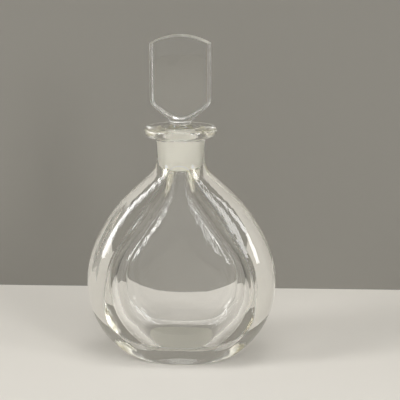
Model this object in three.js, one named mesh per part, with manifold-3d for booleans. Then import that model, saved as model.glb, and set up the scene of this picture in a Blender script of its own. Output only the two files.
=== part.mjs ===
// Clear glass flask decanter: a thick teardrop flask with flat ground faces, a round neck with a
// flared lip, and a slab stopper that is ground into the neck.
// Millimetres, Z up. The flask stands on z = 0 and its broad front face looks along -Y.
import * as THREE from 'three';
import { mergeVertices } from 'three/addons/utils/BufferGeometryUtils.js';
import Module from 'manifold-3d';

const radians = THREE.MathUtils.degToRad;

// Flask body seen from the front: flat foot, tight under-rounding, round belly, flatter shoulder
// arc and a straight run to the neck.
const footRounding = 34;
const footGroundOff = 0.3;
const bellyRadius = 74;
const bellyCentreHeight = 64;
const shoulderRadius = 125.6;
const shoulderStartAngle = radians(22);
const shoulderEndAngle = radians(48);
const neckRootFillet = 9;

// Flask body seen from the side, before grinding: narrow foot, fullest depth low down, a hollow
// taper to the neck.
const footHalfDepth = 18.5;
const fullHalfDepth = 39.6;
const fullDepthHeight = 34;
const fullDepthFillet = 24;
const taperHalfDepth = 25.6;
const taperHeight = 106;
const taperFillet = 150;

// Level sections of body and cavity are ovals squared by this power, where 2 is a plain oval.
// From the second height upwards they turn round again.
const sectionPower = 2.6;
const sectionRoundsFrom = 90;

// The two flat ground faces lean towards each other at the top and run out in a scoop at the neck.
const faceLowHeight = 15;
const faceLowHalfDepth = 30;
const faceHighHeight = 152;
const faceHighHalfDepth = 17.8;
const faceScoopRadius = 14;

// Neck and lip, round in plan.
const neckRootHeight = 162;
const neckRootRadius = 18.5;
const neckTopRadius = 19.2;
const neckTopHeight = 177;
const lipRadius = 27.8;
const lipUndersideHeight = 180.2;
const lipTopHeight = 186;
const lipRimRadius = 2.6;
const lipUndersideFillet = 3;

// Ground joint: the tapered seat in the neck, with a small ledge at its lower end, and the mouth.
const seatTopRadius = 12;
const seatTopHeight = 178.5;
const seatLength = 24;
const seatTaper = 0.045;
const seatLedge = 0.6;
const seatLedgeHeight = 1;
const mouthRadius = 14.2;
const mouthRounding = 1.6;

// Cavity: a smaller teardrop with a flattened floor over a thick bottom.
const floorHeight = 15;
const floorCorner = 7;
const cavityRadius = 55;
const cavityCentreHeight = 60.5;
const cavityShoulderAngle = radians(36);
const cavityNeckFillet = 40;
const floorHalfDepth = 18;
const cavityFullHalfDepth = 23;
const cavityFullDepthHeight = 36;
const cavityDepthFillet = 24;

// Stopper: a round head with a domed top, ground flat front and back, over a waist and the plug.
const stopperHeight = 255;
const headRadius = 23.1;
const headDomeRadius = 45;
const headShoulderHeight = 203.6;
const headHalfThickness = 10;
const headUnderAngle = radians(41);
const headLowCorner = 8;
const waistRadius = 8.2;
const waistFootHeight = 186.5;
const waistFillet = 4.5;
const plugTopHeight = 182.2;
const plugTopCorner = 1.6;
const plugEndAboveSeatEnd = 1;
const plugEndCorner = 1;
const seatClearance = 0.3;

// How far a cutting solid reaches past what it cuts, and the steps of the round stretches.
const overcut = 10;
const bodySegments = 72;
const seatSegments = 48;
const bellySteps = 18;
const shoulderSteps = 8;
const roundingSteps = 6;
const domeSteps = 8;
const filletStep = radians(12);

const seatEndHeight = seatTopHeight - seatLength;
const channelTopHeight = seatEndHeight - seatLedgeHeight;
const channelRadius = seatRadiusAt(seatEndHeight) - seatLedge;

const wasm = await Module();
wasm.setup();

// Seat radius at a height: the ground taper narrows downwards.
function seatRadiusAt(height) {
  return seatTopRadius - (seatTopHeight - height) * seatTaper;
}

// Points [r, z] of an arc, both ends included.
function arc(centreR, centreZ, radius, fromAngle, toAngle, steps) {
  const points = [];
  for (let i = 0; i <= steps; i += 1) {
    const angle = fromAngle + ((toAngle - fromAngle) * i) / steps;
    points.push([centreR + radius * Math.cos(angle), centreZ + radius * Math.sin(angle)]);
  }
  return points;
}

// Points of a line through corners [r, z, fillet], each fillet an arc.
function filletedLine(corners) {
  const points = [];
  corners.forEach(([r, z, fillet], i) => {
    if (!fillet) {
      points.push([r, z]);
      return;
    }
    const corner = new THREE.Vector2(r, z);
    const back = new THREE.Vector2(corners[i - 1][0], corners[i - 1][1]).sub(corner).normalize();
    const ahead = new THREE.Vector2(corners[i + 1][0], corners[i + 1][1]).sub(corner).normalize();
    const half = Math.acos(THREE.MathUtils.clamp(back.dot(ahead), -1, 1)) / 2;
    const middle = back.clone().add(ahead).normalize();
    const centre = corner.clone().addScaledVector(middle, fillet / Math.sin(half));
    const start = corner.clone().addScaledVector(back, fillet / Math.tan(half)).sub(centre);
    const end = corner.clone().addScaledVector(ahead, fillet / Math.tan(half)).sub(centre);
    const turn = Math.atan2(start.cross(end), start.dot(end));
    const steps = Math.max(2, Math.ceil(Math.abs(turn) / filletStep));
    points.push(...arc(centre.x, centre.y, fillet, start.angle(), start.angle() + turn, steps));
  });
  return points;
}

// Radius of an outline, given as rising points, at a height.
function radiusAt(outline, height) {
  for (let i = 1; i < outline.length; i += 1) {
    const [r0, z0] = outline[i - 1];
    const [r1, z1] = outline[i];
    if (height <= z1 && z1 > z0) {
      return r0 + ((r1 - r0) * Math.max(0, height - z0)) / (z1 - z0);
    }
  }
  return outline[outline.length - 1][0];
}

// Revolves an outline that starts and ends on the axis, as a geometry with Z up.
function revolve(outline, segments) {
  const points = outline.map(([r, z]) => new THREE.Vector2(Math.max(r, 0), z));
  const geometry = new THREE.LatheGeometry(points, segments);
  geometry.rotateX(Math.PI / 2);
  return geometry;
}

// Power of the level section at a height, which falls to a circle's at the top height.
function sectionPowerAt(height, topHeight) {
  const rounded = THREE.MathUtils.smoothstep(height, sectionRoundsFrom, topHeight);
  return THREE.MathUtils.lerp(sectionPower, 2, rounded);
}

// Part of a squared oval's half axis that is reached where a circle reaches the share given.
function squaredShare(share, power) {
  return Math.sign(share) * Math.abs(share) ** (2 / power);
}

// Makes the level sections of a revolved shape squared ovals below a height, with the front
// outline as their half width and the side outline as their half depth.
function squareSections(geometry, front, side, topHeight) {
  const position = geometry.getAttribute('position');
  for (let i = 0; i < position.count; i += 1) {
    const height = position.getZ(i);
    const radius = Math.hypot(position.getX(i), position.getY(i));
    if (height < topHeight && radius > 0) {
      const power = sectionPowerAt(height, topHeight);
      const halfDepth = (radius * radiusAt(side, height)) / radiusAt(front, height);
      position.setX(i, radius * squaredShare(position.getX(i) / radius, power));
      position.setY(i, halfDepth * squaredShare(position.getY(i) / radius, power));
    }
  }
  return geometry;
}

// A closed solid of a three.js geometry.
function solid(geometry) {
  const bare = geometry.clone();
  bare.deleteAttribute('normal');
  bare.deleteAttribute('uv');
  const merged = mergeVertices(bare, 1e-4);
  return new wasm.Manifold(new wasm.Mesh({
    numProp: 3,
    vertProperties: new Float32Array(merged.getAttribute('position').array),
    triVerts: new Uint32Array(merged.getIndex().array),
  }));
}

// A three.js geometry of a closed solid.
function geometryOf(made) {
  const mesh = made.getMesh();
  const geometry = new THREE.BufferGeometry();
  const position = new THREE.BufferAttribute(new Float32Array(mesh.vertProperties), 3);
  geometry.setAttribute('position', position);
  geometry.setIndex(new THREE.BufferAttribute(new Uint32Array(mesh.triVerts), 1));
  geometry.computeVertexNormals();
  return geometry;
}

// A straight run that leaves an arc's end at its tangent angle and turns upright into a neck.
function runToNeck([startR, startZ], angle, neckRadius, neckHeight, fillet) {
  const cornerZ = startZ + (startR - neckRadius) / Math.tan(angle);
  return filletedLine([
    [startR, startZ, 0],
    [neckRadius, cornerZ, fillet],
    [neckRadius, neckHeight, 0],
  ]);
}

// A round belly over a flat bottom: a corner arc whose lowest point is at lowHeight, begun at
// startHeight, and the belly circle that it runs into, up to an end angle.
function roundBelly(corner, lowHeight, startHeight, radius, centreHeight, endAngle) {
  const cornerZ = lowHeight + corner;
  const drop = centreHeight - cornerZ;
  const cornerR = Math.sqrt((radius - corner) ** 2 - drop ** 2);
  const startAngle = -Math.asin((cornerZ - startHeight) / corner);
  const joinAngle = -Math.atan2(drop, cornerR);
  const under = arc(cornerR, cornerZ, corner, startAngle, joinAngle, roundingSteps);
  const belly = arc(0, centreHeight, radius, joinAngle, endAngle, bellySteps);
  return [...under, ...belly.slice(1)];
}

// Front outline of the body, from the foot's edge to the neck's root.
function bodyFrontOutline() {
  const belly = roundBelly(
    footRounding,
    -footGroundOff,
    0,
    bellyRadius,
    bellyCentreHeight,
    shoulderStartAngle,
  );
  const shift = shoulderRadius - bellyRadius;
  const shoulderR = -shift * Math.cos(shoulderStartAngle);
  const shoulderZ = bellyCentreHeight - shift * Math.sin(shoulderStartAngle);
  const shoulder = arc(
    shoulderR,
    shoulderZ,
    shoulderRadius,
    shoulderStartAngle,
    shoulderEndAngle,
    shoulderSteps,
  );
  const shoulderTop = shoulder[shoulder.length - 1];
  const run = runToNeck(shoulderTop, shoulderEndAngle, neckRootRadius, neckRootHeight, neckRootFillet);
  return [...belly, ...shoulder.slice(1), ...run.slice(1)];
}

// Side outline of the body before its faces are ground.
function bodySideOutline() {
  return filletedLine([
    [footHalfDepth, 0, 0],
    [fullHalfDepth, fullDepthHeight, fullDepthFillet],
    [taperHalfDepth, taperHeight, taperFillet],
    [neckRootRadius, neckRootHeight, 0],
  ]);
}

// The blown blank of body, neck and lip, round at the neck and a squared oval below.
function flaskBlank() {
  const front = bodyFrontOutline();
  const neckAndLip = filletedLine([
    [neckRootRadius, neckRootHeight, 0],
    [neckTopRadius, neckTopHeight, lipUndersideFillet],
    [lipRadius, lipUndersideHeight, lipRimRadius],
    [lipRadius, lipTopHeight, lipRimRadius],
    [0, lipTopHeight, 0],
  ]);
  const turned = revolve([[0, 0], ...front, ...neckAndLip.slice(1)], bodySegments);
  return solid(squareSections(turned, front, bodySideOutline(), neckRootHeight));
}

// What grinding takes off the front: everything before a leaning plane that ends in a scoop.
function faceCutter() {
  const lean = Math.atan2(faceLowHalfDepth - faceHighHalfDepth, faceHighHeight - faceLowHeight);
  const lowEndDepth = faceLowHalfDepth + (faceLowHeight + overcut) * Math.tan(lean);
  const scoopDepth = faceHighHalfDepth + faceScoopRadius * Math.cos(lean);
  const scoopHeight = faceHighHeight + faceScoopRadius * Math.sin(lean);
  const profile = new THREE.Shape();
  profile.moveTo(bellyRadius, -overcut);
  profile.lineTo(lowEndDepth, -overcut);
  profile.lineTo(faceHighHalfDepth, faceHighHeight);
  profile.absarc(scoopDepth, scoopHeight, faceScoopRadius, Math.PI + lean, Math.PI / 2, true);
  profile.lineTo(bellyRadius, scoopHeight + faceScoopRadius);
  profile.closePath();
  const width = 2 * (bellyRadius + overcut);
  const geometry = new THREE.ExtrudeGeometry(profile, { depth: width, bevelEnabled: false });
  geometry.translate(0, 0, -width / 2);
  geometry.rotateX(Math.PI / 2);
  geometry.rotateZ(-Math.PI / 2);
  return solid(geometry);
}

// Front outline of the cavity, from the edge of its floor to the ledge below the seat.
function cavityFrontOutline() {
  const wall = roundBelly(
    floorCorner,
    floorHeight,
    floorHeight,
    cavityRadius,
    cavityCentreHeight,
    cavityShoulderAngle,
  );
  const run = runToNeck(
    wall[wall.length - 1],
    cavityShoulderAngle,
    channelRadius,
    channelTopHeight,
    cavityNeckFillet,
  );
  return [...wall, ...run.slice(1)];
}

// Side outline of the cavity.
function cavitySideOutline() {
  return filletedLine([
    [floorHalfDepth, floorHeight, 0],
    [cavityFullHalfDepth, cavityFullDepthHeight, cavityDepthFillet],
    [channelRadius, channelTopHeight, 0],
  ]);
}

// The cavity, the ground seat and the mouth, as one solid to take away.
function flaskHollow() {
  const front = cavityFrontOutline();
  const seatAndMouth = [
    [seatRadiusAt(seatEndHeight), seatEndHeight],
    [seatTopRadius, seatTopHeight],
    [mouthRadius, lipTopHeight - mouthRounding],
    [mouthRadius + mouthRounding, lipTopHeight],
    [mouthRadius + mouthRounding, lipTopHeight + overcut],
    [0, lipTopHeight + overcut],
  ];
  const turned = revolve([[0, floorHeight], ...front, ...seatAndMouth], seatSegments);
  return solid(squareSections(turned, front, cavitySideOutline(), channelTopHeight));
}

function flaskGeometry() {
  const front = faceCutter();
  const back = front.rotate([0, 0, 180]);
  return geometryOf(flaskBlank().subtract(front).subtract(back).subtract(flaskHollow()));
}

// The turned stopper blank: plug, waist, cone-bottomed head and dome.
function stopperBlank() {
  const plugEndHeight = seatEndHeight + plugEndAboveSeatEnd;
  const coneFootHeight = headShoulderHeight - (headRadius - waistRadius) * Math.tan(headUnderAngle);
  const domeCentreHeight = stopperHeight - headDomeRadius;
  const domeEdgeAngle = Math.acos(headRadius / headDomeRadius);
  const dome = arc(0, domeCentreHeight, headDomeRadius, domeEdgeAngle, Math.PI / 2, domeSteps);
  const lower = filletedLine([
    [0, plugEndHeight, 0],
    [seatRadiusAt(plugEndHeight) - seatClearance, plugEndHeight, plugEndCorner],
    [seatTopRadius - seatClearance, seatTopHeight, 0],
    [seatTopRadius - seatClearance, plugTopHeight, plugTopCorner],
    [waistRadius, waistFootHeight, waistFillet],
    [waistRadius, coneFootHeight, waistFillet],
    [headRadius, headShoulderHeight, headLowCorner],
    [headRadius, dome[0][1], 0],
  ]);
  return solid(revolve([...lower, ...dome.slice(1)], seatSegments));
}

// What grinding takes off the front of the head.
function headCutter() {
  const height = stopperHeight + overcut - waistFootHeight;
  const width = 2 * (headRadius + overcut);
  const box = new THREE.BoxGeometry(width, headRadius, height);
  box.translate(0, -headHalfThickness - headRadius / 2, waistFootHeight + height / 2);
  return solid(box);
}

function stopperGeometry() {
  const front = headCutter();
  const back = front.rotate([0, 0, 180]);
  return geometryOf(stopperBlank().subtract(front).subtract(back));
}

function clearGlass() {
  return new THREE.MeshStandardMaterial({ color: 0xd9e0da, roughness: 0.04, metalness: 0 });
}

function piece(name, geometry, material) {
  const mesh = new THREE.Mesh(geometry, material);
  mesh.name = name;
  return mesh;
}

const decanter = new THREE.Group();
decanter.add(piece('flask', flaskGeometry(), clearGlass()));
decanter.add(piece('stopper', stopperGeometry(), clearGlass()));

export default decanter;
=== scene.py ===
# Flask decanter of clear, thick glass, with a slab stopper ground into its neck.
# The glass is sized in millimetres and the set in metres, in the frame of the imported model.
import math

import bmesh
import bpy
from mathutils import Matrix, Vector


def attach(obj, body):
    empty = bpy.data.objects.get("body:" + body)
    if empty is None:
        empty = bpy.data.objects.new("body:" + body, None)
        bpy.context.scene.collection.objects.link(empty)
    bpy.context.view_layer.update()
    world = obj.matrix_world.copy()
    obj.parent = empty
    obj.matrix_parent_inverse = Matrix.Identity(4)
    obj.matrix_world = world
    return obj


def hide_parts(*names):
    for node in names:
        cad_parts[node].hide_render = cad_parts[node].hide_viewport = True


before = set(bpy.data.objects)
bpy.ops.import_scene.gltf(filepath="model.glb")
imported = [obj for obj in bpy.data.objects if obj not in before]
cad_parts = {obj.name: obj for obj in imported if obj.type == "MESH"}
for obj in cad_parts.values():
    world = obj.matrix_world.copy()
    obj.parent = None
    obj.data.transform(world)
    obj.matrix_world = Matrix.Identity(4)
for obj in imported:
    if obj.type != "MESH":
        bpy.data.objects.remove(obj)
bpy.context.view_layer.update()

MM = 0.001

# Flask body from the front: flat foot, under-rounding, belly circle, shoulder arc, run to the neck.
# The neck's root is eased more than in the solid.
FOOT_ROUNDING = 34
FOOT_GROUND_OFF = 0.3
BELLY_RADIUS = 74
BELLY_HEIGHT = 64
SHOULDER_RADIUS = 125.6
SHOULDER_START = math.radians(22)
SHOULDER_END = math.radians(48)
NECK_ROOT_FILLET = 16

# Flask body from the side, before grinding.
FOOT_HALF_DEPTH = 18.5
FULL_HALF_DEPTH = 39.6
FULL_DEPTH_HEIGHT = 34
FULL_DEPTH_FILLET = 24
TAPER_HALF_DEPTH = 25.6
TAPER_HEIGHT = 106
TAPER_FILLET = 150

# Level sections are squared ovals. From a height up, their power falls to that of a plain oval.
SECTION_POWER = 2.6
ROUND_POWER = 2
SECTION_ROUNDS_FROM = 90

# Ground faces.
FACE_LOW_HEIGHT = 15
FACE_LOW_HALF_DEPTH = 30
FACE_HIGH_HEIGHT = 152
FACE_HIGH_HALF_DEPTH = 17.8
FACE_SCOOP_RADIUS = 14

# Neck and lip.
NECK_ROOT_HEIGHT = 162
NECK_ROOT_RADIUS = 18.5
NECK_TOP_RADIUS = 19.2
NECK_TOP_HEIGHT = 177
LIP_RADIUS = 27.8
LIP_UNDERSIDE_HEIGHT = 180.2
LIP_TOP_HEIGHT = 186
LIP_RIM_RADIUS = 2.6
LIP_UNDERSIDE_FILLET = 3

# Ground joint and mouth.
SEAT_TOP_RADIUS = 12
SEAT_TOP_HEIGHT = 178.5
SEAT_END_HEIGHT = 154.5
SEAT_TAPER = 0.045
SEAT_LEDGE = 0.6
SEAT_LEDGE_DROP = 1
MOUTH_RADIUS = 14.2
MOUTH_ROUNDING = 1.6

# Cavity.
FLOOR_HEIGHT = 15
FLOOR_CORNER = 7
CAVITY_RADIUS = 55
CAVITY_HEIGHT = 60.5
CAVITY_SHOULDER = math.radians(36)
CAVITY_NECK_FILLET = 40
FLOOR_HALF_DEPTH = 18
CAVITY_FULL_HALF_DEPTH = 23
CAVITY_FULL_DEPTH_HEIGHT = 36
CAVITY_DEPTH_FILLET = 24

# Stopper. Its plug stands closer to the seat than in the solid.
STOPPER_HEIGHT = 255
HEAD_RADIUS = 23.1
HEAD_DOME_RADIUS = 45
HEAD_SHOULDER_HEIGHT = 203.6
HEAD_HALF_THICKNESS = 10
HEAD_UNDER_ANGLE = math.radians(41)
HEAD_LOW_CORNER = 8
WAIST_RADIUS = 8.2
WAIST_FOOT_HEIGHT = 186.5
WAIST_FILLET = 4.5
PLUG_TOP_HEIGHT = 182.2
PLUG_TOP_CORNER = 1.6
PLUG_END_HEIGHT = 155.5
PLUG_END_CORNER = 1
PLUG_GAP = 0.15

# Ground edges are softened: how far, in depth, the rounding reaches to either side.
FLASK_EDGE = 0.35
HEAD_EDGE = 0.8

# A section that isn't ground has its face beyond all glass, and an edge that does nothing.
NOT_GROUND = 1000
IDLE_EDGE = 1

# Matt faces: the foot's lie below a height, and the plug's go on past its top, over its corner.
FOOT_MATT_HEIGHT = 0.01
PLUG_MATT_EXTRA = 1

# Arcs of the outlines: their steps, and how far one step of a fillet turns.
UNDER_STEPS = 16
BELLY_STEPS = 64
SHOULDER_STEPS = 32
DOME_STEPS = 24
FILLET_TURN = math.radians(4)
SIDE_FILLET_TURN = math.radians(1)

# Meshes: columns in a quarter turn over the side, the rounded edge and the flat. Rings lie at most
# a step apart, and as close as the finest step where the next one's flat would be wider or narrower
# by more than a span step, or be cut in by more than an edge step, a share of the edge's reach.
SIDE_COLUMNS = 36
EDGE_COLUMNS = 5
FLAT_COLUMNS = 13
STEP = 1.6
FINEST_STEP = 0.05
SPAN_STEP = 3
EDGE_STEP = 0.25
MERGE_DISTANCE = 1e-6
CREASE_ANGLE = math.radians(25)

# The mesh attribute that says how far a point of the skin is ground, from 0 to 1.
GROUND_SHARE = "ground share"

# Glass: light bends by its index, and takes on a faint yellow tint with each metre of depth.
GLASS_INDEX = 1.53
GLASS_COLOUR = (1, 1, 1, 1)
TINT_COLOUR = (0.93, 0.91, 0.8, 1)
TINT_DENSITY = 5

# Polish: full roughness of smears, scratches, ground edges and the rim of the stopper's head.
SMEAR_ROUGHNESS = 0.03
SCRATCH_ROUGHNESS = 0.06
EDGE_ROUGHNESS = 0.6
RIM_ROUGHNESS = 0.3
RIM_START_HEIGHT = 191
RIM_FADE = 4

# Matt glass where it was ground.
GROUND_COLOUR = (0.94, 0.915, 0.81, 1)
GROUND_SHEEN = 0.05
GROUND_ROUGHNESS = 0.5
GRAIN_ROUGHNESS = 0.15
GRAIN_HEIGHT = 0.02

# Patterns on the glass, in noise cells to the millimetre. A mask grows from 0 to 1 over its range,
# and scratches are noise that is turned aslant and stretched.
NOISE_MIDDLE = 0.5
SMEAR_SCALE = 0.06
SMEAR_DETAIL = 5
SMEAR_DISTORTION = 0.8
SMEAR_RANGE = (0.48, 0.75)
SCRATCH_SCALE = 1.5
SCRATCH_DETAIL = 2
SCRATCH_RANGE = (0.66, 0.72)
SCRATCH_LAY = (0.3, 0.5, 0.9)
SCRATCH_STRETCH = (0.9, 0.9, 0.05)
WAVE_DETAIL = 1
GRAIN_SCALE = 4
GRAIN_DETAIL = 3

# Streaks run up the skin. Their cells are counted round the axis, and drift a little with the
# height. The neck is smooth: they fade out as they come near its middle.
DRAWN_SCALE = 11
DRAWN_DETAIL = 2
DRAWN_DRIFT = 0.0015
SMOOTH_NECK_REACH = 8
SMOOTH_NECK_FADE = 12

# Set, in metres: the table lies just under the foot.
SET_REACH = 3
TABLE_COLOUR = (0.72, 0.69, 0.63, 1)
TABLE_ROUGHNESS = 0.6
TABLE_DROP = 0.0002
WALL_COLOUR = (0.21, 0.2, 0.175, 1)
WALL_ROUGHNESS = 0.8
WALL_DISTANCE = 0.17
WALL_HEIGHT = 0.9

# Light: the angle that lamps shine within, where they are turned to, and the room, which darkens
# between two rises above the horizon.
LAMP_SPREAD = math.radians(100)
BODY_MIDDLE = (0, 0, 0.12)
NECK_FOOT = (0, 0, 0.16)
HORIZON_COLOUR = (0.34, 0.34, 0.34, 1)
CEILING_COLOUR = (0.2, 0.2, 0.2, 1)
CEILING_RANGE = (0.05, 0.6)

# Light paths long enough for the many walls of thick glass.
ALL_BOUNCES = 40
GLOSSY_BOUNCES = 24
GLASS_BOUNCES = 32

# Camera: where the photograph was taken from, in metres. Its picture is measured in pixels, and
# the axis is the column in which the neck stands.
CAMERA_DISTANCE = 0.7
CAMERA_HEIGHT = 0.295
CAMERA_TURN = math.radians(3.5)
CAMERA_DIP = math.radians(13.38)
PICTURE_WIDTH = 400
PICTURE_AXIS = 180.5
PICTURE_FOCAL_LENGTH = 930
SENSOR_WIDTH = 36


# Outlines, which are lists of (width, height).

def arc(centre_width, centre_height, radius, start, end, steps):
    """Points of an arc, both ends included."""
    angles = [start + (end - start) * i / steps for i in range(steps + 1)]
    return [
        (centre_width + radius * math.cos(angle), centre_height + radius * math.sin(angle))
        for angle in angles
    ]


def filleted(corners, step=FILLET_TURN):
    """A line through corners (width, height, fillet), each fillet an arc."""
    points = []
    for i, (width, height, fillet) in enumerate(corners):
        if not fillet:
            points.append((width, height))
            continue
        corner = Vector((width, height))
        back = (Vector(corners[i - 1][:2]) - corner).normalized()
        ahead = (Vector(corners[i + 1][:2]) - corner).normalized()
        half = back.angle(ahead) / 2
        centre = corner + (back + ahead).normalized() * fillet / math.sin(half)
        start = corner + back * fillet / math.tan(half) - centre
        end = corner + ahead * fillet / math.tan(half) - centre
        turn = math.atan2(start.x * end.y - start.y * end.x, start.dot(end))
        begin = math.atan2(start.y, start.x)
        steps = max(2, math.ceil(abs(turn) / step))
        points += arc(centre.x, centre.y, fillet, begin, begin + turn, steps)
    return points


def width_at(outline, height):
    """Width of a rising outline at a height."""
    for (width, low), (next_width, high) in zip(outline, outline[1:]):
        if height <= high and high > low:
            return width + (next_width - width) * max(0, height - low) / (high - low)
    return outline[-1][0]


def round_belly(corner, low, start, radius, centre, end_angle):
    """A corner arc whose lowest point is at low, begun at start, and the belly circle it runs into."""
    corner_height = low + corner
    drop = centre - corner_height
    corner_width = math.sqrt((radius - corner) ** 2 - drop ** 2)
    join = -math.atan2(drop, corner_width)
    begin = -math.asin((corner_height - start) / corner)
    under = arc(corner_width, corner_height, corner, begin, join, UNDER_STEPS)
    return under + arc(0, centre, radius, join, end_angle, BELLY_STEPS)[1:]


def run_to_neck(start, angle, neck_radius, neck_height, fillet):
    """A straight run that leaves an arc's end at its tangent and turns upright into a neck."""
    corner_height = start[1] + (start[0] - neck_radius) / math.tan(angle)
    return filleted([
        (*start, 0),
        (neck_radius, corner_height, fillet),
        (neck_radius, neck_height, 0),
    ])


def seat_radius_at(height):
    """Radius of the ground seat at a height."""
    return SEAT_TOP_RADIUS - (SEAT_TOP_HEIGHT - height) * SEAT_TAPER


# Rings, which are the level sections of a piece.

class Ring:
    """A squared oval at one height. Its face is the half depth at which the flats are ground, and
    its edge the reach of their rounding."""

    def __init__(self, width, height, depth, power, face=NOT_GROUND, edge=IDLE_EDGE):
        self.width, self.height, self.depth, self.power = width, height, depth, power
        self.face, self.edge = face, edge

    def turn_to(self, depth):
        """How far round the quarter ring gets to a depth, in radians."""
        if depth >= self.depth:
            return math.pi / 2
        return math.asin((depth / self.depth) ** (self.power / 2))

    def spans(self):
        """Half widths of the flat without and with its rounded edge, and how far the face cuts in,
        which is stretched to be held to the same step."""
        turns = [self.turn_to(self.face + reach) for reach in (self.edge, -self.edge)]
        widths = [self.width * math.cos(turn) for turn in turns]
        cut_in = min(1, max(-1, (self.depth - self.face) / self.edge))
        return widths + [cut_in * SPAN_STEP / EDGE_STEP]

    def far_from(self, other):
        """Whether another ring is needed between the two."""
        apart = math.hypot(self.width - other.width, self.height - other.height)
        changes = [abs(mine - theirs) for mine, theirs in zip(self.spans(), other.spans())]
        return apart > STEP or (apart > FINEST_STEP and max(changes) > SPAN_STEP)


def ring_rows(outline, ring_at):
    """Rings along an outline, close together where its sections change fast."""
    rows = [ring_at(*outline[0])]
    for start, end in zip(outline, outline[1:]):
        share, ahead = 0, [1]
        while ahead:
            target = ahead[-1]
            ring = ring_at(*(one + (other - one) * target for one, other in zip(start, end)))
            if rows[-1].far_from(ring):
                ahead.append((share + target) / 2)
                continue
            rows.append(ring)
            share = ahead.pop()
    return rows


def eased(share):
    """A share, held between 0 and 1, that starts and ends gently."""
    held = min(1, max(0, share))
    return held * held * (3 - 2 * held)


def oval_section(width, height, front, side, top):
    """Half depth and power of the body's section at a height. From the top up it is round."""
    if height >= top:
        return width, ROUND_POWER
    rounded = eased((height - SECTION_ROUNDS_FROM) / (top - SECTION_ROUNDS_FROM))
    depth = width * width_at(side, height) / width_at(front, height)
    return depth, SECTION_POWER + (ROUND_POWER - SECTION_POWER) * rounded


# Nodes, of shapes and of finishes.

def add_node(tree, kind, values=None, **settings):
    """The outputs of a new node, with its settings made. Each value is set on the input that its key
    says, or linked to it where the value is another node's output."""
    node = tree.nodes.new(kind)
    for setting, choice in settings.items():
        setattr(node, setting, choice)
    for key, value in (values or {}).items():
        if isinstance(value, bpy.types.NodeSocket):
            tree.links.new(value, node.inputs[key])
        else:
            node.inputs[key].default_value = value
    return node.outputs


def math_node(tree, operation, *values):
    """The result of one operation on numbers or other nodes' outputs."""
    return add_node(tree, "ShaderNodeMath", dict(enumerate(values)), operation=operation)[0]


def growing(tree, value, start, end, amount=1):
    """A number that is 0 up to a start and grows evenly to an amount at an end."""
    values = {"Value": value, "From Min": start, "From Max": end, "To Min": 0, "To Max": amount}
    return add_node(tree, "ShaderNodeMapRange", values)[0]


def noise(tree, place, scale, detail, distortion=0):
    """Soft noise between 0 and 1."""
    values = {"Vector": place, "Scale": scale, "Detail": detail, "Distortion": distortion}
    return add_node(tree, "ShaderNodeTexNoise", values)[0]


# Shapes of the glass.

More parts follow.
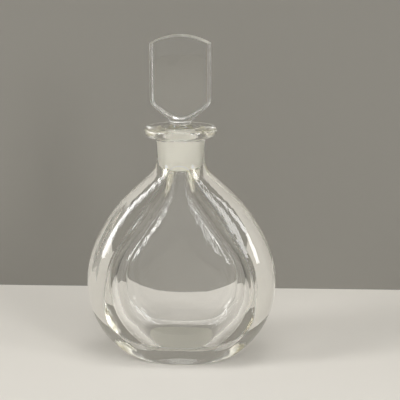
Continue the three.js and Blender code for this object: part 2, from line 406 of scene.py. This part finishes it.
def turning_tree():
    """Turns rings into a closed skin with flats ground front and back. Each point given is a ring:
    half width, half depth and height. Its attribute grinding holds the face's half depth, the reach
    of its rounded edge and the ring's power, and turns holds where that edge starts and ends."""
    tree = bpy.data.node_groups.new("turned and ground glass", "GeometryNodeTree")
    tree.interface.new_socket("Rings", in_out="INPUT", socket_type="NodeSocketGeometry")
    for name in ("Side columns", "Edge columns", "Flat columns"):
        tree.interface.new_socket(name, in_out="INPUT", socket_type="NodeSocketInt")
    tree.interface.new_socket("Glass", in_out="INPUT", socket_type="NodeSocketMaterial")
    tree.interface.new_socket("Skin", in_out="OUTPUT", socket_type="NodeSocketGeometry")
    given = add_node(tree, "NodeGroupInput")

    def maths(operation, *values):
        return math_node(tree, operation, *values)

    # A grid with a row for each ring, and columns for four quarters and the first column again.
    side = given["Side columns"]
    to_flat = maths("ADD", side, given["Edge columns"])
    quarter = maths("ADD", to_flat, given["Flat columns"])
    rings = add_node(tree, "GeometryNodeAttributeDomainSize", {"Geometry": given["Rings"]})["Point Count"]
    columns = maths("MULTIPLY_ADD", quarter, 4, 1)
    grid = add_node(tree, "GeometryNodeMeshGrid", {"Vertices X": columns, "Vertices Y": rings})["Mesh"]
    index = add_node(tree, "GeometryNodeInputIndex")[0]
    row = maths("FLOORED_MODULO", index, rings)
    column = maths("FLOOR", maths("DIVIDE", index, rings))
    round_turn = maths("DIVIDE", maths("MULTIPLY", column, math.pi / 2), quarter)
    quarter_column = maths("PINGPONG", column, quarter)

    def of_ring(field):
        """The three parts of a vector that the point's ring holds."""
        values = {"Geometry": given["Rings"], "Value": field, "Index": row}
        held = add_node(tree, "GeometryNodeSampleIndex", values, data_type="FLOAT_VECTOR")[0]
        return list(add_node(tree, "ShaderNodeSeparateXYZ", {0: held}))

    def named(name):
        kind = "GeometryNodeInputNamedAttribute"
        return add_node(tree, kind, {"Name": name}, data_type="FLOAT_VECTOR")["Attribute"]

    half_width, half_depth, height = of_ring(add_node(tree, "GeometryNodeInputPosition")[0])
    face, edge, power = of_ring(named("grinding"))
    edge_start, edge_end = of_ring(named("turns"))[:2]

    # Turn of the point in its quarter: over the side, over the rounded edge, over the flat.
    side_turn = growing(tree, quarter_column, 0, side, edge_start)
    edge_turn = growing(tree, quarter_column, side, to_flat, maths("SUBTRACT", edge_end, edge_start))
    flat_turn = growing(tree, quarter_column, to_flat, quarter, maths("SUBTRACT", math.pi / 2, edge_end))
    turn = maths("ADD", maths("ADD", side_turn, edge_turn), flat_turn)
    exponent = maths("DIVIDE", 2, power)

    def reach(wave, amount):
        """How far out the point lies, by the sine or cosine of its turn, before grinding."""
        return maths("MULTIPLY", amount, maths("POWER", maths("ABSOLUTE", maths(wave, turn)), exponent))

    across = reach("COSINE", half_width)
    through = reach("SINE", half_depth)
    ground = maths("SMOOTH_MIN", through, face, edge)
    point = add_node(tree, "ShaderNodeCombineXYZ", {
        "X": maths("MULTIPLY", across, maths("SIGN", maths("COSINE", round_turn))),
        "Y": maths("MULTIPLY", ground, maths("SIGN", maths("SINE", round_turn))),
        "Z": height,
    })[0]
    placed = add_node(tree, "GeometryNodeSetPosition", {"Geometry": grid, "Position": point})[0]

    # The ground share goes from 0 to 1 as the grinding goes from one reach of the edge to the other.
    taken = maths("DIVIDE", maths("SUBTRACT", through, face), edge)
    ground_share = maths("MULTIPLY_ADD", taken, 0.5, 0.5)
    marked = add_node(tree, "GeometryNodeStoreNamedAttribute", {
        "Name": GROUND_SHARE,
        "Geometry": placed,
        "Value": maths("MAXIMUM", maths("MINIMUM", ground_share, 1), 0),
    })[0]

    values = {"Geometry": marked, "Distance": MERGE_DISTANCE}
    closed = add_node(tree, "GeometryNodeMergeByDistance", values)[0]
    real = add_node(tree, "GeometryNodeRealizeInstances", {0: closed})[0]
    painted = add_node(tree, "GeometryNodeSetMaterial", {"Geometry": real, "Material": given["Glass"]})[0]
    add_node(tree, "NodeGroupOutput", {"Skin": painted})
    return tree


def plain_mesh(thing):
    """Bakes the object's modifiers into a plain mesh, with faces pointing outwards."""
    graph = bpy.context.evaluated_depsgraph_get()
    mesh = bpy.data.meshes.new_from_object(thing.evaluated_get(graph))
    thing.modifiers.clear()
    thing.data = mesh
    work = bmesh.new()
    work.from_mesh(mesh)
    bmesh.ops.recalc_face_normals(work, faces=work.faces)
    work.to_mesh(mesh)
    work.free()
    return thing


def turned(name, rings, glass, tree):
    """A turned and ground piece, made from its rings."""
    points = [(ring.width * MM, ring.depth * MM, ring.height * MM) for ring in rings]
    mesh = bpy.data.meshes.new(name)
    mesh.from_pydata(points, [], [])
    grinding, turns = [], []
    for ring in rings:
        grinding += [ring.face * MM, ring.edge * MM, ring.power]
        turns += [ring.turn_to(ring.face - ring.edge), ring.turn_to(ring.face + ring.edge), 0]
    mesh.attributes.new("grinding", "FLOAT_VECTOR", "POINT").data.foreach_set("vector", grinding)
    mesh.attributes.new("turns", "FLOAT_VECTOR", "POINT").data.foreach_set("vector", turns)
    thing = bpy.data.objects.new(name, mesh)
    bpy.context.scene.collection.objects.link(thing)
    turning = thing.modifiers.new("turning", "NODES")
    turning.node_group = tree
    sockets = {item.name: item.identifier for item in tree.interface.items_tree}
    turning[sockets["Side columns"]] = SIDE_COLUMNS
    turning[sockets["Edge columns"]] = EDGE_COLUMNS
    turning[sockets["Flat columns"]] = FLAT_COLUMNS
    turning[sockets["Glass"]] = glass
    return plain_mesh(thing)


def face_depth(height):
    """Half depth of the flask's ground faces, which lean in upwards and end in a scoop."""
    lean = math.atan2(FACE_LOW_HALF_DEPTH - FACE_HIGH_HALF_DEPTH, FACE_HIGH_HEIGHT - FACE_LOW_HEIGHT)
    if height < FACE_HIGH_HEIGHT:
        return FACE_LOW_HALF_DEPTH - (height - FACE_LOW_HEIGHT) * math.tan(lean)
    scoop_depth = FACE_HIGH_HALF_DEPTH + FACE_SCOOP_RADIUS * math.cos(lean)
    above = height - FACE_HIGH_HEIGHT - FACE_SCOOP_RADIUS * math.sin(lean)
    if above < FACE_SCOOP_RADIUS:
        return scoop_depth - math.sqrt(FACE_SCOOP_RADIUS ** 2 - above ** 2)
    return NOT_GROUND


def body_outline():
    """The body from the front, from the edge of the foot to the root of the neck."""
    belly = round_belly(FOOT_ROUNDING, -FOOT_GROUND_OFF, 0, BELLY_RADIUS, BELLY_HEIGHT, SHOULDER_START)
    shift = SHOULDER_RADIUS - BELLY_RADIUS
    shoulder_width = -shift * math.cos(SHOULDER_START)
    shoulder_height = BELLY_HEIGHT - shift * math.sin(SHOULDER_START)
    shoulder = arc(
        shoulder_width, shoulder_height, SHOULDER_RADIUS, SHOULDER_START, SHOULDER_END, SHOULDER_STEPS
    )
    run = run_to_neck(shoulder[-1], SHOULDER_END, NECK_ROOT_RADIUS, NECK_ROOT_HEIGHT, NECK_ROOT_FILLET)
    return belly + shoulder[1:] + run[1:]


def body_rings():
    """Outside of the flask, from the middle of the foot to the top of the lip."""
    front = body_outline()
    side = filleted([
        (FOOT_HALF_DEPTH, 0, 0),
        (FULL_HALF_DEPTH, FULL_DEPTH_HEIGHT, FULL_DEPTH_FILLET),
        (TAPER_HALF_DEPTH, TAPER_HEIGHT, TAPER_FILLET),
        (NECK_ROOT_RADIUS, NECK_ROOT_HEIGHT, 0),
    ], SIDE_FILLET_TURN)
    neck_and_lip = filleted([
        (NECK_ROOT_RADIUS, NECK_ROOT_HEIGHT, 0),
        (NECK_TOP_RADIUS, NECK_TOP_HEIGHT, LIP_UNDERSIDE_FILLET),
        (LIP_RADIUS, LIP_UNDERSIDE_HEIGHT, LIP_RIM_RADIUS),
        (LIP_RADIUS, LIP_TOP_HEIGHT, LIP_RIM_RADIUS),
        (MOUTH_RADIUS + MOUTH_ROUNDING, LIP_TOP_HEIGHT, 0),
    ])

    def ring_at(width, height):
        depth, power = oval_section(width, height, front, side, NECK_ROOT_HEIGHT)
        return Ring(width, height, depth, power, face_depth(height), FLASK_EDGE)

    return ring_rows([(0, 0)] + front + neck_and_lip[1:], ring_at)


def hollow_rings():
    """Inside of the flask, from the top of the lip to the middle of the cavity's floor."""
    channel_top = SEAT_END_HEIGHT - SEAT_LEDGE_DROP
    channel_radius = seat_radius_at(SEAT_END_HEIGHT) - SEAT_LEDGE
    belly = round_belly(
        FLOOR_CORNER, FLOOR_HEIGHT, FLOOR_HEIGHT, CAVITY_RADIUS, CAVITY_HEIGHT, CAVITY_SHOULDER
    )
    run = run_to_neck(belly[-1], CAVITY_SHOULDER, channel_radius, channel_top, CAVITY_NECK_FILLET)
    front = belly + run[1:]
    side = filleted([
        (FLOOR_HALF_DEPTH, FLOOR_HEIGHT, 0),
        (CAVITY_FULL_HALF_DEPTH, CAVITY_FULL_DEPTH_HEIGHT, CAVITY_DEPTH_FILLET),
        (channel_radius, channel_top, 0),
    ], SIDE_FILLET_TURN)
    mouth_and_seat = filleted([
        (MOUTH_RADIUS + MOUTH_ROUNDING, LIP_TOP_HEIGHT, 0),
        (MOUTH_RADIUS, LIP_TOP_HEIGHT, MOUTH_ROUNDING),
        (SEAT_TOP_RADIUS, SEAT_TOP_HEIGHT, 0),
        (seat_radius_at(SEAT_END_HEIGHT), SEAT_END_HEIGHT, 0),
    ])

    def ring_at(width, height):
        return Ring(width, height, *oval_section(width, height, front, side, channel_top))

    return ring_rows(mouth_and_seat + front[::-1] + [(0, FLOOR_HEIGHT)], ring_at)


def stopper_rings():
    """The stopper, from the plug's lower end to the middle of the dome."""
    cone_foot = HEAD_SHOULDER_HEIGHT - (HEAD_RADIUS - WAIST_RADIUS) * math.tan(HEAD_UNDER_ANGLE)
    dome_edge = math.acos(HEAD_RADIUS / HEAD_DOME_RADIUS)
    dome_centre = STOPPER_HEIGHT - HEAD_DOME_RADIUS
    dome = arc(0, dome_centre, HEAD_DOME_RADIUS, dome_edge, math.pi / 2, DOME_STEPS)
    dome[-1] = (0, STOPPER_HEIGHT)
    lower = filleted([
        (0, PLUG_END_HEIGHT, 0),
        (seat_radius_at(PLUG_END_HEIGHT) - PLUG_GAP, PLUG_END_HEIGHT, PLUG_END_CORNER),
        (SEAT_TOP_RADIUS - PLUG_GAP, SEAT_TOP_HEIGHT, 0),
        (SEAT_TOP_RADIUS - PLUG_GAP, PLUG_TOP_HEIGHT, PLUG_TOP_CORNER),
        (WAIST_RADIUS, WAIST_FOOT_HEIGHT, WAIST_FILLET),
        (WAIST_RADIUS, cone_foot, WAIST_FILLET),
        (HEAD_RADIUS, HEAD_SHOULDER_HEIGHT, HEAD_LOW_CORNER),
        (*dome[0], 0),
    ])

    def ring_at(width, height):
        face = HEAD_HALF_THICKNESS if height > WAIST_FOOT_HEIGHT else NOT_GROUND
        return Ring(width, height, width, ROUND_POWER, face, HEAD_EDGE)

    return ring_rows(lower + dome[1:], ring_at)


def finish_glass(thing, clear, ground, is_ground):
    """Clear glass all over but for the faces that grinding left matt, smooth shading, and crisp
    ground edges."""
    mesh = thing.data
    mesh.materials.clear()
    mesh.materials.append(clear)
    mesh.materials.append(ground)
    for face in mesh.polygons:
        centre = face.center / MM
        face.material_index = int(is_ground(math.hypot(centre.x, centre.y), centre.z))
    work = bmesh.new()
    work.from_mesh(mesh)
    for face in work.faces:
        face.smooth = True
    for edge in work.edges:
        edge.smooth = len(edge.link_faces) != 2 or edge.calc_face_angle(0) < CREASE_ANGLE
    work.to_mesh(mesh)
    work.free()


def in_seat_or_foot(across, height):
    """The flask's matt faces: the seat in the neck and the underside of the foot."""
    in_seat = SEAT_END_HEIGHT < height < SEAT_TOP_HEIGHT and across < SEAT_TOP_RADIUS
    return in_seat or height < FOOT_MATT_HEIGHT


def on_plug(across, height):
    """The stopper's matt faces: the ground side of the plug and its upper corner, all the way round."""
    return PLUG_END_HEIGHT + PLUG_END_CORNER < height < PLUG_TOP_HEIGHT + PLUG_MATT_EXTRA


# Finishes.

def handling_group():
    """Traces of making and use on glass. Smear and Scratch are masks. Wave, Drawn and Grain are
    heights: slow waves, streaks drawn out towards the smooth neck, and the grain of grinding."""
    group = bpy.data.node_groups.new("handling traces", "ShaderNodeTree")
    group.interface.new_socket("Place", in_out="INPUT", socket_type="NodeSocketVector")
    group.interface.new_socket("Wave scale", in_out="INPUT", socket_type="NodeSocketFloat")
    for name in ("Smear", "Scratch", "Wave", "Drawn", "Grain"):
        group.interface.new_socket(name, in_out="OUTPUT", socket_type="NodeSocketFloat")
    given = add_node(group, "NodeGroupInput")
    place = given["Place"]

    smear = noise(group, place, SMEAR_SCALE, SMEAR_DETAIL, SMEAR_DISTORTION)
    lay = {"Vector": place, "Rotation": SCRATCH_LAY, "Scale": SCRATCH_STRETCH}
    scratch = noise(group, add_node(group, "ShaderNodeMapping", lay)[0], SCRATCH_SCALE, SCRATCH_DETAIL)

    across, through, height = add_node(group, "ShaderNodeSeparateXYZ", {0: place})
    outwards = add_node(group, "ShaderNodeCombineXYZ", {"X": across, "Y": through})[0]
    heading = add_node(group, "ShaderNodeVectorMath", {0: outwards}, operation="NORMALIZE")[0]
    upwards = math_node(group, "MULTIPLY", height, DRAWN_DRIFT)
    drift = add_node(group, "ShaderNodeCombineXYZ", {"Z": upwards})[0]
    streak_place = add_node(group, "ShaderNodeVectorMath", {0: heading, 1: drift}, operation="ADD")[0]
    drawn = noise(group, streak_place, DRAWN_SCALE, DRAWN_DETAIL)
    streaks = math_node(group, "SUBTRACT", drawn, NOISE_MIDDLE)
    neck_middle = (NECK_ROOT_HEIGHT + NECK_TOP_HEIGHT) / 2
    from_neck = math_node(group, "ABSOLUTE", math_node(group, "SUBTRACT", height, neck_middle))
    strength = growing(group, from_neck, SMOOTH_NECK_REACH, SMOOTH_NECK_REACH + SMOOTH_NECK_FADE)

    add_node(group, "NodeGroupOutput", {
        "Smear": growing(group, smear, *SMEAR_RANGE),
        "Scratch": growing(group, scratch, *SCRATCH_RANGE),
        "Wave": noise(group, place, given["Wave scale"], WAVE_DETAIL),
        "Drawn": math_node(group, "MULTIPLY", streaks, strength),
        "Grain": noise(group, place, GRAIN_SCALE, GRAIN_DETAIL),
    })
    return group


def millimetre_place(tree):
    """Object coordinates in millimetres."""
    place = add_node(tree, "ShaderNodeTexCoord")["Object"]
    return add_node(tree, "ShaderNodeVectorMath", {0: place, "Scale": 1 / MM}, operation="SCALE")[0]


def glass_shader(name, colour, transmission):
    """A new material of glass, tinted by its depth."""
    finish = bpy.data.materials.new(name)
    finish.use_nodes = True
    tree = finish.node_tree
    shader = tree.nodes["Principled BSDF"]
    shader.inputs["Base Color"].default_value = colour
    shader.inputs["Metallic"].default_value = 0
    shader.inputs["Transmission Weight"].default_value = transmission
    shader.inputs["IOR"].default_value = GLASS_INDEX
    tint = {"Color": TINT_COLOUR, "Density": TINT_DENSITY}
    depth_tint = add_node(tree, "ShaderNodeVolumeAbsorption", tint)[0]
    tree.links.new(depth_tint, tree.nodes["Material Output"].inputs["Volume"])
    return finish, tree, shader


def raise_surface(tree, shader, height):
    """Gives a surface its heights, in millimetres."""
    bump = add_node(tree, "ShaderNodeBump", {"Distance": MM, "Height": height})[0]
    tree.links.new(bump, shader.inputs["Normal"])


def clear_glass(name, traces, wave_height, wave_scale, drawn_height):
    """Polished glass with waves and traces of use. Its flats were ground smooth, so the streaks
    stop there, and the edges of the flats and the rim of the stopper's head are a little dull."""
    finish, tree, shader = glass_shader(name, GLASS_COLOUR, transmission=1)
    place = millimetre_place(tree)
    use = add_node(tree, "ShaderNodeGroup", {"Place": place, "Wave scale": wave_scale}, node_tree=traces)
    ground = add_node(tree, "ShaderNodeAttribute", attribute_name=GROUND_SHARE)["Fac"]
    skin = math_node(tree, "SUBTRACT", 1, ground)
    height = add_node(tree, "ShaderNodeSeparateXYZ", {0: place})["Z"]
    rim = growing(tree, height, RIM_START_HEIGHT, RIM_START_HEIGHT + RIM_FADE, RIM_ROUGHNESS)

    # The product of the two shares is a quarter in the middle of the edge, and 0 on either side.
    edge = math_node(tree, "MULTIPLY", math_node(tree, "MULTIPLY", ground, skin), 4)
    worn = math_node(tree, "MULTIPLY", use["Smear"], SMEAR_ROUGHNESS)
    worn = math_node(tree, "MULTIPLY_ADD", use["Scratch"], SCRATCH_ROUGHNESS, worn)
    worn = math_node(tree, "MULTIPLY_ADD", edge, EDGE_ROUGHNESS, worn)
    worn = math_node(tree, "MULTIPLY_ADD", skin, rim, worn)
    tree.links.new(worn, shader.inputs["Roughness"])
    streaks = math_node(tree, "MULTIPLY", use["Drawn"], drawn_height)
    waves = math_node(tree, "MULTIPLY", use["Wave"], wave_height)
    raise_surface(tree, shader, math_node(tree, "MULTIPLY_ADD", streaks, skin, waves))
    return finish


def ground_glass(traces):
    """Matt glass as the grinding left it, with a fine grain."""
    finish, tree, shader = glass_shader("ground glass", GROUND_COLOUR, transmission=0)
    shader.inputs["Specular IOR Level"].default_value = GROUND_SHEEN
    place = millimetre_place(tree)
    grain = add_node(tree, "ShaderNodeGroup", {"Place": place}, node_tree=traces)["Grain"]
    matt = math_node(tree, "MULTIPLY_ADD", grain, GRAIN_ROUGHNESS, GROUND_ROUGHNESS)
    tree.links.new(matt, shader.inputs["Roughness"])
    raise_surface(tree, shader, math_node(tree, "MULTIPLY", grain, GRAIN_HEIGHT))
    return finish


# The set.

def plain_finish(name, colour, roughness):
    """A new material of one colour."""
    finish = bpy.data.materials.new(name)
    finish.use_nodes = True
    shader = finish.node_tree.nodes["Principled BSDF"]
    shader.inputs["Base Color"].default_value = colour
    shader.inputs["Roughness"].default_value = roughness
    return finish


def sheet(name, corners, finish):
    """A flat sheet between four corners."""
    mesh = bpy.data.meshes.new(name)
    mesh.from_pydata(corners, [], [(0, 1, 2, 3)])
    mesh.materials.append(finish)
    thing = bpy.data.objects.new(name, mesh)
    bpy.context.scene.collection.objects.link(thing)
    return thing


def table():
    """A plain pale table that reaches out of the picture."""
    corners = [
        (-SET_REACH, -SET_REACH, -TABLE_DROP),
        (SET_REACH, -SET_REACH, -TABLE_DROP),
        (SET_REACH, SET_REACH, -TABLE_DROP),
        (-SET_REACH, SET_REACH, -TABLE_DROP),
    ]
    top = sheet("table", corners, plain_finish("pale table", TABLE_COLOUR, TABLE_ROUGHNESS))


def backdrop():
    """A plain grey wall behind the decanter, which a camera behind it looks through."""
    finish = plain_finish("grey wall", WALL_COLOUR, WALL_ROUGHNESS)
    tree = finish.node_tree
    either = add_node(tree, "ShaderNodeMixShader", {
        0: add_node(tree, "ShaderNodeNewGeometry")["Backfacing"],
        1: tree.nodes["Principled BSDF"].outputs[0],
        2: add_node(tree, "ShaderNodeBsdfTransparent")[0],
    })[0]
    tree.links.new(either, tree.nodes["Material Output"].inputs["Surface"])
    corners = [
        (-SET_REACH, WALL_DISTANCE, 0),
        (SET_REACH, WALL_DISTANCE, 0),
        (SET_REACH, WALL_DISTANCE, WALL_HEIGHT),
        (-SET_REACH, WALL_DISTANCE, WALL_HEIGHT),
    ]
    wall = sheet("backdrop", corners, finish)


def soft_lamp(name, place, target, width, height, power):
    """A soft lamp that the camera doesn't see."""
    light = bpy.data.lights.new(name, "AREA")
    light.shape = "RECTANGLE"
    light.size = width
    light.size_y = height
    light.energy = power
    light.spread = LAMP_SPREAD
    lamp = bpy.data.objects.new(name, light)
    bpy.context.scene.collection.objects.link(lamp)
    lamp.location = place
    lamp.rotation_euler = (Vector(target) - Vector(place)).to_track_quat("-Z", "Y").to_euler()
    lamp.visible_camera = False


def lamps():
    """Soft lamps round the decanter, kept away from the table so that none burns a spot on it."""
    soft_lamp("left softbox", (-1.4, -0.64, 0.85), BODY_MIDDLE, width=0.5, height=1.1, power=3)
    soft_lamp("right softbox", (1.0, -1.25, 0.85), BODY_MIDDLE, width=0.32, height=1.1, power=2.6)
    soft_lamp("right strip light", (0.8, -0.45, 0.42), NECK_FOOT, width=0.16, height=0.5, power=0.8)
    soft_lamp("left strip light", (-0.85, -0.35, 0.42), NECK_FOOT, width=0.16, height=0.5, power=0.8)
    soft_lamp("front overhead softbox", (0, -2.0, 1.7), (0, -1.6, 0), width=1.8, height=1.2, power=9.5)
    soft_lamp("overhead softbox", (0.1, -0.3, 1.4), (0, 0, 0.1), width=0.9, height=0.5, power=1.6)


def room_light():
    """A plain grey room, darker towards its ceiling."""
    world = bpy.data.worlds.new("soft room")
    bpy.context.scene.world = world
    world.use_nodes = True
    tree = world.node_tree
    direction = add_node(tree, "ShaderNodeTexCoord")["Generated"]
    height = add_node(tree, "ShaderNodeSeparateXYZ", {0: direction})["Z"]
    start, end = CEILING_RANGE
    rise = {"Value": height, "From Min": start, "From Max": end}
    darkening = add_node(tree, "ShaderNodeMapRange", rise, interpolation_type="SMOOTHSTEP")[0]
    colours = {0: darkening, "A": HORIZON_COLOUR, "B": CEILING_COLOUR}
    shade = add_node(tree, "ShaderNodeMix", colours, data_type="RGBA")["Result"]
    tree.links.new(shade, tree.nodes["Background"].inputs["Color"])


def photo_camera():
    """The camera, turned aside from the neck as far as the picture's middle is from its axis."""
    data = bpy.data.cameras.new("camera")
    data.sensor_width = SENSOR_WIDTH
    data.lens = PICTURE_FOCAL_LENGTH / PICTURE_WIDTH * SENSOR_WIDTH
    camera = bpy.data.objects.new("camera", data)
    bpy.context.scene.collection.objects.link(camera)
    camera.location = (
        math.sin(CAMERA_TURN) * CAMERA_DISTANCE,
        -math.cos(CAMERA_TURN) * CAMERA_DISTANCE,
        CAMERA_HEIGHT,
    )
    aside = math.atan((PICTURE_WIDTH / 2 - PICTURE_AXIS) / PICTURE_FOCAL_LENGTH)
    camera.rotation_euler = (math.pi / 2 - CAMERA_DIP, 0, CAMERA_TURN - aside)
    bpy.context.scene.camera = camera


photo_camera()

traces = handling_group()
tree = turning_tree()
flask_clear = clear_glass(
    "clear flask glass", traces, wave_height=0.15, wave_scale=0.025, drawn_height=0.22
)
stopper_clear = clear_glass(
    "clear stopper glass", traces, wave_height=0.12, wave_scale=0.05, drawn_height=0.05
)
ground = ground_glass(traces)

flask = turned("flask_glass", body_rings() + hollow_rings()[1:], flask_clear, tree)
finish_glass(flask, flask_clear, ground, in_seat_or_foot)
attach(flask, "flask")
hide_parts("flask")

stopper = turned("stopper_glass", stopper_rings(), stopper_clear, tree)
finish_glass(stopper, stopper_clear, ground, on_plug)
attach(stopper, "stopper")
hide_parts("stopper")

table()
backdrop()
lamps()
room_light()

bpy.context.scene.view_settings.view_transform = "Standard"
light_paths = bpy.context.scene.cycles
light_paths.max_bounces = ALL_BOUNCES
light_paths.glossy_bounces = GLOSSY_BOUNCES
light_paths.transmission_bounces = GLASS_BOUNCES
